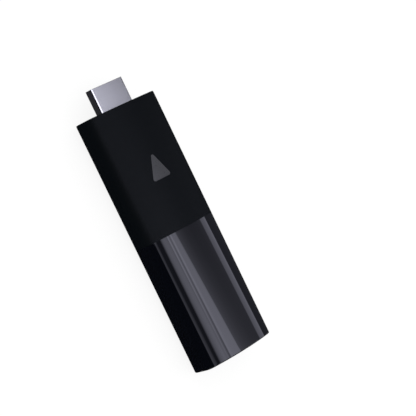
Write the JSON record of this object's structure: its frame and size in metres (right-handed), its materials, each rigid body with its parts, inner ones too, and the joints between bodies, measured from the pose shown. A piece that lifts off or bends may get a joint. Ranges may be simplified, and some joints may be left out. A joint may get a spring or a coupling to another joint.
{
  "type": "streaming media player",
  "caption": "Flat black stick-shaped streaming media player with crowned faces, half matte and half glossy, and a fixed metal plug at one end.",
  "frame": {"origin": "under the middle of the whole length, plug included, on the plane the stick lies on", "axes": "+X across the width, +Y along the stick towards the plug, +Z out of the front face"},
  "size_m": [0.0302, 0.1014, 0.0152],
  "materials": {
    "housing": "fine matte half and high-gloss half, black",
    "emblem": "semi-gloss dark grey",
    "plug_metal": "bright nickel plate",
    "dark_plastic": "moulded black",
    "contact_gold": "gold plated",
    "sheet_steel": "tinned sheet",
    "cradle_plastic": "moulded grey",
    "board": "green solder mask",
    "chip": "moulded epoxy",
    "ferrite": "pressed ferrite",
    "ceramic": "fired body, tan",
    "gap_pad": "soft heat-conducting pad",
    "spreader": "milled plate"
  },
  "bodies": {
    "root": {"front_shell": "housing", "rear_shell": "housing", "emblem_inlay": "emblem", "plug_shell": "plug_metal", "plug_insulator": "dark_plastic", "plug_contacts": "contact_gold", "plug_back_cover": "plug_metal", "plug_cradle": "cradle_plastic", "main_board": "board", "processor": "chip", "memory_chip": "chip", "flash_chip": "chip", "wireless_module": "sheet_steel", "power_chip": "chip", "clock_crystal": "sheet_steel", "power_inductors": "ferrite", "filter_capacitors": "ceramic", "front_shield_frame": "sheet_steel", "front_shield_lid": "sheet_steel", "rear_shield_frame": "sheet_steel", "rear_shield_lid": "sheet_steel", "processor_pad": "gap_pad", "front_gap_pad": "gap_pad", "rear_gap_pad": "gap_pad", "front_heat_spreader": "spreader", "rear_heat_spreader": "spreader", "power_socket_shell": "sheet_steel", "power_socket_tongue": "dark_plastic", "power_socket_contacts": "contact_gold", "antenna_left": "sheet_steel", "antenna_right": "sheet_steel"}
  },
  "joints": []
}
